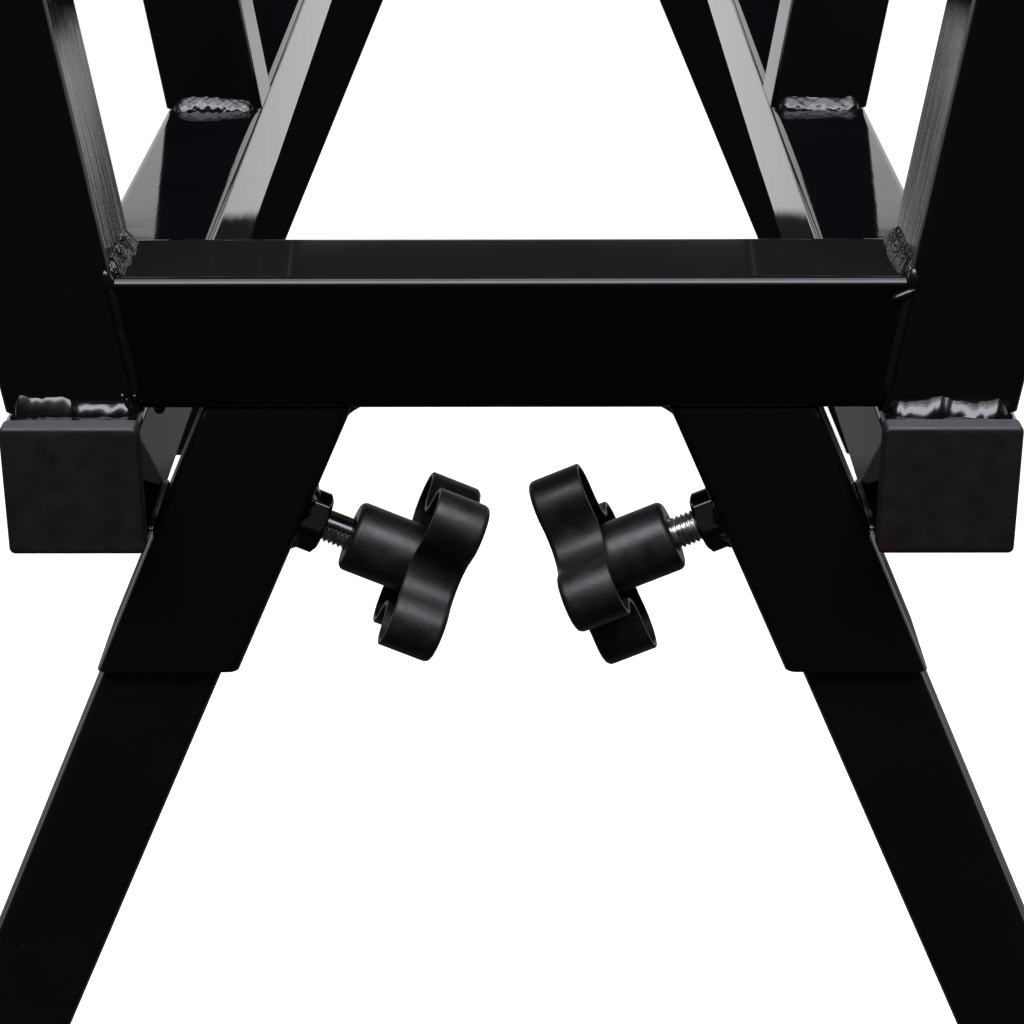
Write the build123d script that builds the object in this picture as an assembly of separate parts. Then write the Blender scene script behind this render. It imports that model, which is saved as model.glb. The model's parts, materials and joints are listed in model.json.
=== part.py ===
from build123d import *
import math
import os

# A welded log sawhorse: two rails carry pairs of leaning uprights, a crossbar ties each end pair,
# and four splayed legs slide in sockets under the crossbars, each held by a star knob's screw.
# X is across the sawhorse, Y along the rails, Z up. The origin is on the floor, under the middle.

# Square tube of the frame
TUBE = 40.0
TUBE_WALL = 1.5
CORNER_PER_WALL = 2.0

# Rails and the stations of uprights along them
RAIL_SPACING = 255.0
RAIL_TOP = 450.0
STATION_PITCH = 348.0
STATION_NAMES = ["front", "second", "third", "rear"]
UPRIGHT_LEAN = 9.0
UPRIGHT_LENGTH = 500.0

# Crossbars between the end uprights
CROSSBAR_LIFT = 1.0

# Leg sockets under the crossbars
LEG_SPLAY = 23.4
SOCKET_DROP = 86.0
SOCKET_RAIL_GAP = 0.8
STUD_HOLE_GAP = 0.5

# Legs, thinner tube pressed against the outer wall of the socket
LEG_PLAY = 3.0
LEG_WALL = 1.5
LEG_SEAT_GAP = 0.2
LEG_STOP_GAP = 0.2

# Plastic plugs in the tubes' ends
CAP_FLANGE = 6.5
CAP_CORNER = 1.8
CAP_ROUND = 1.2
FOOT_FLANGE = 5.0
PLUG_DEPTH = 14.0
PLUG_WALL = 2.0
PLUG_GAP = 0.15

# Clamp screw: weld nut, stud and star knob
STUD_DIAMETER = 10.0
STUD_FIT = 0.05
STUD_SHOWING = 8.3
STUD_TIP_GAP = 0.2
STUD_CHAMFER = 1.0
NUT_FLATS = 17.0
NUT_THICKNESS = 8.0
NUT_CHAMFER = 1.2
HUB_WALL = 6.0
HUB_ROUND = 2.0
HUB_FLOOR = 10.0
SCREW_RISE = 0.8
KNOB_DIAMETER = 64.5
KNOB_LOBES = 4
LOBE_PER_DIAMETER = 0.15
VALLEY_PER_DIAMETER = 0.14
KNOB_RIM = 16.5
KNOB_SHELL = 1.6
KNOB_FACE = 3.0
KNOB_ROUND = 2.0
KNOB_FACING_GAP = 9.2
# How far each knob is turned when its clamp is tight
KNOB_TURNS = {"front_left": 29.5, "front_right": -3.5, "rear_left": 50.0, "rear_right": 15.0}

# Weld beads
WELD_LEG = 4.5
WELD_MARGIN = 0.5

# Worked-out sizes
TUBE_CORNER = CORNER_PER_WALL * TUBE_WALL
RAIL_X = RAIL_SPACING / 2
END_STATION_Y = STATION_PITCH * (len(STATION_NAMES) - 1) / 2
# The rails run past the end uprights by as much as the beads at their feet need
RAIL_OVERHANG = WELD_LEG + WELD_MARGIN
RAIL_END_Y = END_STATION_Y + TUBE / 2 + RAIL_OVERHANG

LEAN_SIN = math.sin(math.radians(UPRIGHT_LEAN))
LEAN_COS = math.cos(math.radians(UPRIGHT_LEAN))
SPLAY_SIN = math.sin(math.radians(LEG_SPLAY))
SPLAY_COS = math.cos(math.radians(LEG_SPLAY))
SPLAY_TAN = math.tan(math.radians(LEG_SPLAY))

# The crossbar's front and rear are flush with the end uprights'
CROSSBAR_Y = END_STATION_Y
CROSSBAR_BOTTOM = RAIL_TOP + CROSSBAR_LIFT
CROSSBAR_TOP = CROSSBAR_BOTTOM + TUBE

# The outer face of a socket passes just inside the rounded lower corner of the rail
RAIL_CORNER_X = RAIL_X - TUBE / 2 + TUBE_CORNER
RAIL_CORNER_Z = RAIL_TOP - TUBE + TUBE_CORNER
SOCKET_FACE_X = RAIL_CORNER_X - (TUBE_CORNER + SOCKET_RAIL_GAP) / SPLAY_COS
SOCKET_X = SOCKET_FACE_X - (CROSSBAR_BOTTOM - RAIL_CORNER_Z) * SPLAY_TAN - TUBE / 2 / SPLAY_COS
SOCKET_BOTTOM = CROSSBAR_BOTTOM - SOCKET_DROP
SOCKET_LENGTH = SOCKET_DROP / SPLAY_COS

LEG = TUBE - 2 * TUBE_WALL - LEG_PLAY
LEG_CORNER = CORNER_PER_WALL * LEG_WALL
LEG_SHIFT = TUBE / 2 - TUBE_WALL - LEG_SEAT_GAP - LEG / 2
LEG_X = SOCKET_X + LEG_SHIFT / SPLAY_COS
LEG_TOP = CROSSBAR_BOTTOM - LEG_STOP_GAP

# Along a clamp screw, measured from the inner face of the socket
LEG_FACE_DEPTH = TUBE / 2 + LEG_SHIFT - LEG / 2
STUD_TIP = STUD_TIP_GAP - LEG_FACE_DEPTH
HUB_START = NUT_THICKNESS + STUD_SHOWING

# The screw is just above half-way down the socket's inner face, and facing knobs stop short
# of each other, so the hub is as long as the space between the sockets lets it be
LOBE_RADIUS = LOBE_PER_DIAMETER * KNOB_DIAMETER
VALLEY_RADIUS = VALLEY_PER_DIAMETER * KNOB_DIAMETER
SCREW_DROP = SOCKET_LENGTH / 2 - TUBE / 2 * SPLAY_TAN - SCREW_RISE
SCREW_X = SOCKET_X - TUBE / 2 * SPLAY_COS + SCREW_DROP * SPLAY_SIN
KNOB_TIP_X = KNOB_FACING_GAP / 2 + KNOB_DIAMETER / 2 * SPLAY_SIN
KNOB_END = (SCREW_X - KNOB_TIP_X) / SPLAY_COS
RIM_START = KNOB_END - KNOB_RIM
STUD_END = KNOB_END - KNOB_FACE - HUB_FLOOR

SIDES = {"left": -1, "right": 1}
ENDS = {"front": -1, "rear": 1}


def save(solids, node):
    """Write one node, a single solid or a group of like solids."""
    pieces = [solid for part in solids for solid in part.solids()]
    shape = pieces[0] if len(pieces) == 1 else Compound(pieces)
    shape.label = node
    export_step(shape, f"parts/{node}.step")


def square(width, corner):
    """Square section with rounded corners."""
    return RectangleRounded(width, width, corner)


def tube(plane, width, wall, length):
    """Square tube with rounded corners, drawn on a plane and pushed along its normal."""
    corner = CORNER_PER_WALL * wall
    section = square(width, corner) - square(width - 2 * wall, corner - wall)
    return extrude(plane * section, length)


def trim(part, height, keep):
    """Cut a part level at a height and keep what is above or below."""
    return split(part, bisect_by=Plane.XY.offset(height), keep=keep)


def tube_plug(plane, width, wall, depth):
    """Hollow square plug that fits inside a tube, pushed along the plane's normal."""
    outer = width - 2 * wall - 2 * PLUG_GAP
    corner = (CORNER_PER_WALL - 1) * wall
    section = square(outer, corner) - Rectangle(outer - 2 * PLUG_WALL, outer - 2 * PLUG_WALL)
    return extrude(plane * section, depth)


def end_cap(plane):
    """Plastic cap on a frame tube: the plane lies on the tube's end and looks out of it."""
    flange = extrude(plane * square(TUBE, CAP_CORNER), CAP_FLANGE)
    rim = flange.faces().sort_by(Axis(plane.origin, plane.z_dir))[-1].edges()
    flange = fillet(rim, CAP_ROUND)
    inward = Plane(plane.origin, x_dir=plane.x_dir, z_dir=-plane.z_dir)
    return flange + tube_plug(inward, TUBE, TUBE_WALL, PLUG_DEPTH)


def upright_plane(side, y, along):
    """Cross-section plane of an upright, at a distance along it from its foot on the rail."""
    axis = Vector(side * LEAN_SIN, 0, LEAN_COS)
    foot = Vector(side * RAIL_X, y, RAIL_TOP)
    return Plane(foot + axis * along, x_dir=(0, 1, 0), z_dir=axis)


def upright(side, y):
    """Leaning tube, cut level where it stands on the rail and square at its top."""
    spare = TUBE
    blank = tube(upright_plane(side, y, -spare), TUBE, TUBE_WALL, UPRIGHT_LENGTH + spare)
    return trim(blank, RAIL_TOP, Keep.TOP)


def upright_face(side):
    """Plane of the upright's inner face, looking at the middle of the sawhorse."""
    inward = Vector(-side * LEAN_COS, 0, LEAN_SIN)
    foot = Vector(side * RAIL_X, 0, RAIL_TOP)
    return Plane(foot + inward * (TUBE / 2), x_dir=(0, 1, 0), z_dir=inward)


def crossbar(end):
    """Tube between the end uprights, with its ends cut to their slant."""
    start = Plane((-RAIL_X, end * CROSSBAR_Y, CROSSBAR_BOTTOM + TUBE / 2), x_dir=(0, 1, 0), z_dir=(1, 0, 0))
    bar = tube(start, TUBE, TUBE_WALL, RAIL_SPACING)
    for side in SIDES.values():
        bar = split(bar, bisect_by=upright_face(side), keep=Keep.TOP)
    return bar


def leg_axis(side):
    """Direction of a leg, down and outwards."""
    return Vector(side * SPLAY_SIN, 0, -SPLAY_COS)


def slanted_tube(side, end, x, width, wall, top, bottom):
    """Tube along a leg's direction, with both ends cut level."""
    spare = width
    axis = leg_axis(side)
    start = Vector(side * x, end * CROSSBAR_Y, CROSSBAR_BOTTOM) - axis * spare
    length = (CROSSBAR_BOTTOM - bottom) / SPLAY_COS + 2 * spare
    blank = tube(Plane(start, x_dir=(0, 1, 0), z_dir=axis), width, wall, length)
    return trim(trim(blank, top, Keep.BOTTOM), bottom, Keep.TOP)


def screw_plane(side, end, along):
    """Cross-section plane of a clamp screw, at a distance from the socket's inner face."""
    inward = Vector(-side * SPLAY_COS, 0, -SPLAY_SIN)
    top = Vector(side * SOCKET_X, end * CROSSBAR_Y, CROSSBAR_BOTTOM) + inward * (TUBE / 2)
    middle = top + leg_axis(side) * SCREW_DROP
    return Plane(middle + inward * along, x_dir=(0, 1, 0), z_dir=inward)


def leg_socket(side, end):
    """Splayed tube under the crossbar, drilled through its inner wall for the clamp screw."""
    shell = slanted_tube(side, end, SOCKET_X, TUBE, TUBE_WALL, CROSSBAR_BOTTOM, SOCKET_BOTTOM)
    hole = extrude(screw_plane(side, end, -TUBE / 2) * Circle(STUD_DIAMETER / 2 + STUD_HOLE_GAP), TUBE)
    return shell - hole


def leg(side, end):
    """Leg tube from its stop under the crossbar down to its foot."""
    return slanted_tube(side, end, LEG_X, LEG, LEG_WALL, LEG_TOP, FOOT_FLANGE)


def leg_foot(side, end):
    """Plastic foot, level with the floor, with a plug up inside the leg."""
    axis = leg_axis(side)
    ground_x = LEG_X + CROSSBAR_BOTTOM * SPLAY_TAN
    ground = Vector(side * ground_x, end * CROSSBAR_Y, 0)
    up = Plane(ground + axis * LEG, x_dir=(0, 1, 0), z_dir=-axis)
    reach = LEG + FOOT_FLANGE / SPLAY_COS + PLUG_DEPTH
    sole = trim(trim(extrude(up * square(LEG, LEG_CORNER), reach), FOOT_FLANGE, Keep.BOTTOM), 0, Keep.TOP)
    plug = trim(tube_plug(up, LEG, LEG_WALL, reach), FOOT_FLANGE, Keep.TOP)
    return sole + plug


def weld_nut(side, end):
    """Hexagon nut on the socket's inner face, one corner towards the end of the sawhorse."""
    base = screw_plane(side, end, 0)
    corners = NUT_FLATS / 2 / math.cos(math.radians(30))
    round_blank = extrude(base * Circle(corners), NUT_THICKNESS)
    outer_edge = round_blank.faces().sort_by(Axis(base.origin, base.z_dir))[-1].edges()
    round_blank = chamfer(outer_edge, NUT_CHAMFER)
    hexagon = extrude(base * RegularPolygon(corners, 6), NUT_THICKNESS)
    bore = extrude(base * Circle(STUD_DIAMETER / 2 + STUD_FIT), NUT_THICKNESS)
    return (hexagon & round_blank) - bore


def clamp_stud(side, end):
    """Screw from just short of the leg's face, through the nut, into the knob's hub."""
    base = screw_plane(side, end, STUD_TIP)
    stud = extrude(base * Circle(STUD_DIAMETER / 2), STUD_END - STUD_TIP)
    tip = stud.faces().sort_by(Axis(base.origin, base.z_dir))[0].edges()
    return chamfer(tip, STUD_CHAMFER)


def star(inset):
    """Outline of the knob: round lobes joined by hollow valleys, moved in by an inset.

    A valley's centre lies half-way between two lobes, its own radius plus the lobe's from each.
    """
    lobe = LOBE_RADIUS - inset
    valley = VALLEY_RADIUS + inset
    lobe_reach = KNOB_DIAMETER / 2 - LOBE_RADIUS
    half_step = math.pi / KNOB_LOBES
    across = lobe_reach * math.sin(half_step)
    valley_reach = lobe_reach * math.cos(half_step) + math.sqrt((lobe + valley) ** 2 - across ** 2)

    def at(radius, angle):
        return Vector(radius * math.cos(angle), radius * math.sin(angle))

    def meeting(lobe_angle, valley_angle):
        """Point where a lobe's arc runs into a valley's."""
        lobe_centre = at(lobe_reach, lobe_angle)
        towards_valley = at(valley_reach, valley_angle) - lobe_centre
        return lobe_centre + towards_valley * (lobe / (lobe + valley))

    arcs = []
    for index in range(KNOB_LOBES):
        tip = 2 * half_step * index
        dip = tip + half_step
        lobe_start = meeting(tip, tip - half_step)
        lobe_end = meeting(tip, dip)
        valley_end = meeting(tip + 2 * half_step, dip)
        arcs.append(ThreePointArc(lobe_start, at(lobe_reach + lobe, tip), lobe_end))
        arcs.append(ThreePointArc(lobe_end, at(valley_reach - valley, dip), valley_end))
    return make_face(Wire(arcs))


def star_knob(side, end, turn):
    """Hollow four-lobed knob, open towards the nut, with a round hub bored for the stud.

    At no turn one lobe points straight up the socket, and a turn moves it towards the end.
    """
    base = screw_plane(side, end, 0)
    along = Axis(base.origin, base.z_dir)
    angle = math.radians(turn)
    lobe_direction = -leg_axis(side) * math.cos(angle) + Vector(0, end, 0) * math.sin(angle)
    turned = Plane(base.origin, x_dir=lobe_direction, z_dir=base.z_dir)

    def section(sketch, start, length):
        return extrude(turned.offset(start) * sketch, length)

    shell = section(star(0), RIM_START, KNOB_RIM)
    shell = fillet(shell.faces().sort_by(along)[-1].edges(), KNOB_ROUND)
    shell -= section(star(KNOB_SHELL), RIM_START, KNOB_RIM - KNOB_FACE)
    hub = section(Circle(STUD_DIAMETER / 2 + HUB_WALL), HUB_START, KNOB_END - HUB_START - KNOB_FACE / 2)
    hub = fillet(hub.faces().sort_by(along)[0].edges(), HUB_ROUND)
    bore = section(Circle(STUD_DIAMETER / 2 + STUD_FIT), HUB_START, STUD_END - HUB_START)
    return shell + hub - bore


def prism(points, direction, length):
    """Straight bead of triangular section along a direction."""
    return extrude(make_face(Polyline(points, close=True)), length, dir=direction)


def foot_weld(side, y, face):
    """Bead in the corner between a rail's top and the front or rear face of an upright."""
    half = TUBE / 2 - TUBE_CORNER - WELD_MARGIN
    shift = WELD_LEG * LEAN_SIN / 2
    start_x = side * (RAIL_X + shift) - half
    corner = Vector(start_x, y + face * TUBE / 2, RAIL_TOP)
    points = [corner, corner + Vector(0, face * WELD_LEG, 0), corner + Vector(0, 0, WELD_LEG)]
    return prism(points, (1, 0, 0), 2 * half)


def crossbar_weld(side, end):
    """Bead in the corner between a crossbar's top and the inner face of an upright."""
    half = TUBE / 2 - TUBE_CORNER
    rise = CROSSBAR_TOP - RAIL_TOP
    corner_x = side * (RAIL_X - TUBE / 2 / LEAN_COS + rise * LEAN_SIN / LEAN_COS)
    corner = Vector(corner_x, end * CROSSBAR_Y - half, CROSSBAR_TOP)
    up_face = Vector(side * LEAN_SIN, 0, LEAN_COS) * WELD_LEG
    points = [corner, corner + Vector(-side * WELD_LEG, 0, 0), corner + up_face]
    return prism(points, (0, 1, 0), 2 * half)


def socket_weld(side, end):
    """Bead in the corner between a crossbar's underside and the inner face of a socket."""
    half = TUBE / 2 - TUBE_CORNER
    corner_x = side * (SOCKET_X - TUBE / 2 / SPLAY_COS)
    corner = Vector(corner_x, end * CROSSBAR_Y - half, CROSSBAR_BOTTOM)
    points = [corner, corner + Vector(-side * WELD_LEG, 0, 0), corner + leg_axis(side) * WELD_LEG]
    return prism(points, (0, 1, 0), 2 * half)


os.makedirs("parts", exist_ok=True)

station_y = {name: STATION_PITCH * place - END_STATION_Y for place, name in enumerate(STATION_NAMES)}
foot_welds = []
crossbar_welds = []
socket_welds = []

for side_name, side in SIDES.items():
    rail_start = Plane((side * RAIL_X, -RAIL_END_Y, RAIL_TOP - TUBE / 2), x_dir=(1, 0, 0), z_dir=(0, 1, 0))
    save([tube(rail_start, TUBE, TUBE_WALL, 2 * RAIL_END_Y)], f"rail_{side_name}")
    for end_name, end in ENDS.items():
        end_centre = (side * RAIL_X, end * RAIL_END_Y, RAIL_TOP - TUBE / 2)
        rail_end = Plane(end_centre, x_dir=(1, 0, 0), z_dir=(0, end, 0))
        save([end_cap(rail_end)], f"rail_cap_{end_name}_{side_name}")

    for station, y in station_y.items():
        save([upright(side, y)], f"upright_{station}_{side_name}")
        save([end_cap(upright_plane(side, y, UPRIGHT_LENGTH))], f"upright_cap_{station}_{side_name}")
        foot_welds += [foot_weld(side, y, face) for face in (-1, 1)]

for end_name, end in ENDS.items():
    save([crossbar(end)], f"crossbar_{end_name}")
    for side_name, side in SIDES.items():
        corner_name = f"{end_name}_{side_name}"
        save([leg_socket(side, end)], f"leg_socket_{corner_name}")
        save([leg(side, end)], f"leg_{corner_name}")
        save([leg_foot(side, end)], f"leg_foot_{corner_name}")
        save([weld_nut(side, end)], f"weld_nut_{corner_name}")
        save([clamp_stud(side, end)], f"clamp_stud_{corner_name}")
        save([star_knob(side, end, KNOB_TURNS[corner_name])], f"star_knob_{corner_name}")
        crossbar_welds.append(crossbar_weld(side, end))
        socket_welds.append(socket_weld(side, end))

save(foot_welds, "upright_foot_welds")
save(crossbar_welds, "crossbar_welds")
save(socket_welds, "socket_welds")
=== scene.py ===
import itertools
import json
import math

import bpy
import numpy as np
from mathutils import Matrix, Vector


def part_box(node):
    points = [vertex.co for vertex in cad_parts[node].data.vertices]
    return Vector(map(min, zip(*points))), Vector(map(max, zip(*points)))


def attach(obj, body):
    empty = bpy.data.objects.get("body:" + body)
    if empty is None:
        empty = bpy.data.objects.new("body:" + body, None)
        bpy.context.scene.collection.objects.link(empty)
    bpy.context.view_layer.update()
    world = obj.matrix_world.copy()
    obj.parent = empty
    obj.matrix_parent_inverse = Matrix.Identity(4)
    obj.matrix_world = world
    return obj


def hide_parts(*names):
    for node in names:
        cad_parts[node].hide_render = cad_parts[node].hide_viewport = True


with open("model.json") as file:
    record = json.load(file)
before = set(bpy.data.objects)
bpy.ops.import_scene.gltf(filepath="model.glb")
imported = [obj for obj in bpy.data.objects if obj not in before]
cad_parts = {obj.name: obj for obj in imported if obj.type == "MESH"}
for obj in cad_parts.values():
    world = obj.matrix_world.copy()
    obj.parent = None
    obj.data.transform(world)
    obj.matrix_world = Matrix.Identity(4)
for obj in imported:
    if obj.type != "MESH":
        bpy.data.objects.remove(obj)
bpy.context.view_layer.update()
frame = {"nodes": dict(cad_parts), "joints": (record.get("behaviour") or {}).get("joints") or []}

# Rails
# Two lengths of square steel tube lie along the sawhorse and carry everything else on it.
# The tube is roll formed, so its corners are round and its flats keep faint lines from the rolls.
# The whole frame is sprayed gloss black after welding.

SIDES = {"left": -1.0, "right": 1.0}
ENDS = {"front": -1.0, "rear": 1.0}
ACROSS = np.array([1.0, 0.0, 0.0])
LENGTHWISE = np.array([0.0, 1.0, 0.0])
UP = np.array([0.0, 0.0, 1.0])

TUBE_WALL = 0.0015
TUBE_CORNER = 0.003
CORNER_STEPS = 6
FLAT_TUCK = 0.0004
SHARP_ANGLE = math.radians(32)

PAINT_DEEP = (0.0019, 0.0016, 0.0022, 1.0)
PAINT_PALE = (0.0029, 0.0025, 0.0033, 1.0)
DUST = (0.05, 0.05, 0.05, 1.0)
# How fine the coat's patterns are, in cells of noise to the metre; the roll lines' across and along the tube
PEEL_FINENESS = 420.0
WAVE_FINENESS = 26.0
LINE_FINENESS = (900, 9, 1)
DUST_FINENESS = 260.0
PATCH_FINENESS = 45.0
SPECK_EDGE = 12.0
NOISE_SWING = 0.22
# Fineness and detail of the noise that a coat's tone drifts by
COAT_TONE = (14.0, 3.0)
PAINT_IOR = 1.5
# Depths of the coat's relief in metres
FRAME_RELIEF = {"Peel": 1.5e-6, "Wave": 9e-5, "Lines": 6e-6}


def corners_of(node):
    """Lowest and highest corner of a node, as arrays."""
    low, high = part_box(node)
    return np.array(low), np.array(high)


def rounded_square(width, corner):
    """Closed outline of a square with round corners, drawn once round.

    Each corner is a quarter circle. A point just past each end of it keeps the sides flat under smooth
    shading. The other three corners are the first one turned by quarter turns.
    """
    angle = np.linspace(0.0, math.pi / 2, CORNER_STEPS + 1)
    arc = corner * np.exp(1j * angle)
    bend = np.concatenate([[corner - 1j * FLAT_TUCK], arc, [1j * corner - FLAT_TUCK]])
    bend = bend + (width / 2 - corner) * (1 + 1j)
    outline = np.concatenate([bend * 1j ** turn for turn in range(4)])
    return np.stack([outline.real, outline.imag], axis=1)


def run_along(origin, axis, side):
    """Start, side, other side and axis of a straight run, at right angles and right handed."""
    return origin, side, np.cross(axis, side), axis


def ring_on(outline, run, point, normal):
    """Outline carried along a run until each of its points meets the plane through a point."""
    origin, side, other, axis = run
    base = origin + outline[:, :1] * side + outline[:, 1:] * other
    reach = ((point - base) @ normal) / (axis @ normal)
    return base + reach[:, None] * axis


def ring_at(outline, run, height):
    """Outline set square to a run, at a height along it."""
    origin, axis = run[0], run[3]
    return ring_on(outline, run, origin + height * axis, axis)


def tube_stack(run, width, start, end):
    """Rings of a square tube between two planes: along its outside and back along its inside."""
    outside = rounded_square(width, TUBE_CORNER)
    inside = rounded_square(width - 2 * TUBE_WALL, TUBE_CORNER - TUBE_WALL)
    rings = [
        ring_on(outside, run, *start),
        ring_on(outside, run, *end),
        ring_on(inside, run, *end),
        ring_on(inside, run, *start),
    ]
    return np.stack(rings), True


def ring_mesh(name, stacks):
    """Mesh of one or more stacks of rings, with a UV map in metres around and along each stack.

    Quads join each ring to the next, point by point. A looped stack, such as a tube's wall, joins its last
    ring to its first, and any other stack is closed by a flat face on its first ring and on its last.
    """
    points, faces, maps = [], [], []
    first = 0
    for rings, looped in stacks:
        count, around = rings.shape[:2]
        index = first + np.arange(count * around).reshape(count, around)
        here, there = index, np.roll(index, -1, axis=0)
        steps = np.linalg.norm(np.roll(rings, -1, axis=0) - rings, axis=2).mean(axis=1)
        if not looped:
            here, there, steps = here[:-1], there[:-1], steps[:-1]
        quads = np.stack([here, np.roll(here, -1, 1), np.roll(there, -1, 1), there], axis=2)
        sides = np.linalg.norm(np.roll(rings[0], -1, axis=0) - rings[0], axis=1)
        u = np.concatenate([[0.0], np.cumsum(sides)])
        v = np.concatenate([[0.0], np.cumsum(steps)])
        place = np.empty(quads.shape + (2,))
        place[..., 0] = np.stack([u[:-1], u[1:], u[1:], u[:-1]], axis=1)
        place[..., 1] = np.stack([v[:-1], v[:-1], v[1:], v[1:]], axis=1)[:, None]
        points.append(rings.reshape(-1, 3))
        faces += quads.reshape(-1, 4).tolist()
        maps.append(place.reshape(-1, 2))
        if not looped:
            faces += [index[0, ::-1].tolist(), index[-1].tolist()]
            maps.append(np.stack([np.tile(u[:-1], 2), np.repeat([v[0], v[-1]], around)], axis=1))
        first += count * around
    mesh = bpy.data.meshes.new(name)
    mesh.from_pydata(np.concatenate(points).tolist(), [], faces)
    layer = mesh.uv_layers.new(name="surface")
    layer.uv.foreach_set("vector", np.concatenate(maps).astype(np.float32).ravel())
    mesh.shade_smooth()
    mesh.set_sharp_from_angle(angle=SHARP_ANGLE)
    return mesh


def add_object(name, data):
    """Put a new object in the scene."""
    item = bpy.data.objects.new(name, data)
    bpy.context.scene.collection.objects.link(item)
    return item


def add_piece(name, stacks, material, body, slot, *nodes):
    """Put a piece made of rings on its body, in place of its CAD nodes."""
    mesh = ring_mesh(name, stacks)
    mesh.materials.append(material)
    piece = add_object(name, mesh)
    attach(piece, body)
    if nodes:
        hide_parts(*nodes)


def add_node(tree, kind, inputs, **settings):
    """Add a shader node, set its properties, and fill or link its inputs."""
    node = tree.nodes.new(kind)
    for key, value in settings.items():
        setattr(node, key, value)
    for socket, value in inputs.items():
        if isinstance(value, bpy.types.NodeSocket):
            tree.links.new(value, node.inputs[socket])
        else:
            node.inputs[socket].default_value = value
    return node


def math_node(tree, operation, first, second):
    """Result of one sum on two values or sockets."""
    return add_node(tree, "ShaderNodeMath", {0: first, 1: second}, operation=operation).outputs[0]


def shader_group(name, inputs, outputs):
    """New shader node group with its sockets: the tree, its input node and its output node."""
    tree = bpy.data.node_groups.new(name, "ShaderNodeTree")
    for socket, kind in inputs.items():
        tree.interface.new_socket(socket, in_out="INPUT", socket_type=kind)
    for socket, kind in outputs.items():
        tree.interface.new_socket(socket, in_out="OUTPUT", socket_type=kind)
    return tree, tree.nodes.new("NodeGroupInput"), tree.nodes.new("NodeGroupOutput")


def noise_about_zero(tree, place, scale, detail):
    """Noise value that swings evenly about zero."""
    noise = add_node(tree, "ShaderNodeTexNoise", {"Vector": place, "Scale": scale, "Detail": detail})
    return math_node(tree, "SUBTRACT", noise.outputs["Fac"], 0.5)


def make_sprayed_relief():
    """Group: height of a sprayed coat in metres, from orange peel, slow waves and the tube's roll lines."""
    values = dict.fromkeys(("Peel", "Fineness", "Wave", "Lines"), "NodeSocketFloat")
    sockets = {"Place": "NodeSocketVector", "Along": "NodeSocketVector", **values}
    tree, given, result = shader_group("sprayed_relief", sockets, {"Height": "NodeSocketFloat"})
    peel = noise_about_zero(tree, given.outputs["Place"], given.outputs["Fineness"], detail=3.0)
    wave = noise_about_zero(tree, given.outputs["Place"], WAVE_FINENESS, detail=2.5)
    stretch = {"Vector": given.outputs["Along"], "Scale": LINE_FINENESS}
    stretched = add_node(tree, "ShaderNodeMapping", stretch).outputs["Vector"]
    lines = noise_about_zero(tree, stretched, scale=1.0, detail=3.0)
    height = math_node(tree, "MULTIPLY", peel, given.outputs["Peel"])
    for part, name in ((wave, "Wave"), (lines, "Lines")):
        height = math_node(tree, "ADD", height, math_node(tree, "MULTIPLY", part, given.outputs[name]))
    tree.links.new(height, result.inputs["Height"])
    return tree


def make_specks():
    """Group: mask of small specks, the middles of fine cells, which come and go in patches."""
    sockets = {"Place": "NodeSocketVector", "Fineness": "NodeSocketFloat", "Amount": "NodeSocketFloat"}
    tree, given, result = shader_group("specks", sockets, {"Mask": "NodeSocketFloat"})
    cells = {"Vector": given.outputs["Place"], "Scale": given.outputs["Fineness"]}
    distance = add_node(tree, "ShaderNodeTexVoronoi", cells).outputs["Distance"]
    patches = noise_about_zero(tree, given.outputs["Place"], PATCH_FINENESS, detail=2.0)
    reach = math_node(tree, "MULTIPLY", patches, given.outputs["Amount"])
    over = math_node(tree, "SUBTRACT", reach, distance)
    mask = add_node(tree, "ShaderNodeMath", {0: over, 1: SPECK_EDGE}, operation="MULTIPLY", use_clamp=True)
    tree.links.new(mask.outputs[0], result.inputs["Mask"])
    return tree


sprayed_relief = make_sprayed_relief()
specks = make_specks()


def group_result(tree, group, inputs):
    """What a shader group gives for its inputs."""
    return add_node(tree, "ShaderNodeGroup", inputs, node_tree=group).outputs[0]


def blend_colours(tree, amount, low, high):
    """Colour between two colours or sockets, by an amount."""
    inputs = {"Factor": amount, 6: low, 7: high}
    return add_node(tree, "ShaderNodeMix", inputs, data_type="RGBA").outputs[2]


def spread(tree, value, low, high):
    """Noise value about zero, spread over the range from low to high."""
    limits = {"From Min": -NOISE_SWING, "From Max": NOISE_SWING, "To Min": low, "To Max": high}
    return add_node(tree, "ShaderNodeMapRange", {"Value": value, **limits}).outputs["Result"]


def bump_into(tree, shader, height):
    """Feed a height in metres to the shader's normal."""
    bump = add_node(tree, "ShaderNodeBump", {"Height": height, "Strength": 1.0, "Distance": 1.0})
    tree.links.new(bump.outputs["Normal"], shader.inputs["Normal"])


def lay_over(tree, shader, cover, colour):
    """Blend a colour over the one that the shader has, by a cover."""
    base = shader.inputs["Base Color"]
    tree.links.new(blend_colours(tree, cover, base.links[0].from_socket, colour), base)


def new_material(name, tone, colours, gloss):
    """Material whose colour and roughness drift together, with its node tree, shader and coordinates.

    The tone is the fineness and the detail of the noise that they drift by.
    """
    material = bpy.data.materials.new(name)
    material.use_nodes = True
    tree = material.node_tree
    shader = tree.nodes["Principled BSDF"]
    where = tree.nodes.new("ShaderNodeTexCoord").outputs
    drift = noise_about_zero(tree, where["Object"], *tone)
    colour = blend_colours(tree, spread(tree, drift, 0.0, 1.0), *colours)
    tree.links.new(colour, shader.inputs["Base Color"])
    tree.links.new(spread(tree, drift, *gloss), shader.inputs["Roughness"])
    return material, tree, shader, where


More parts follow.
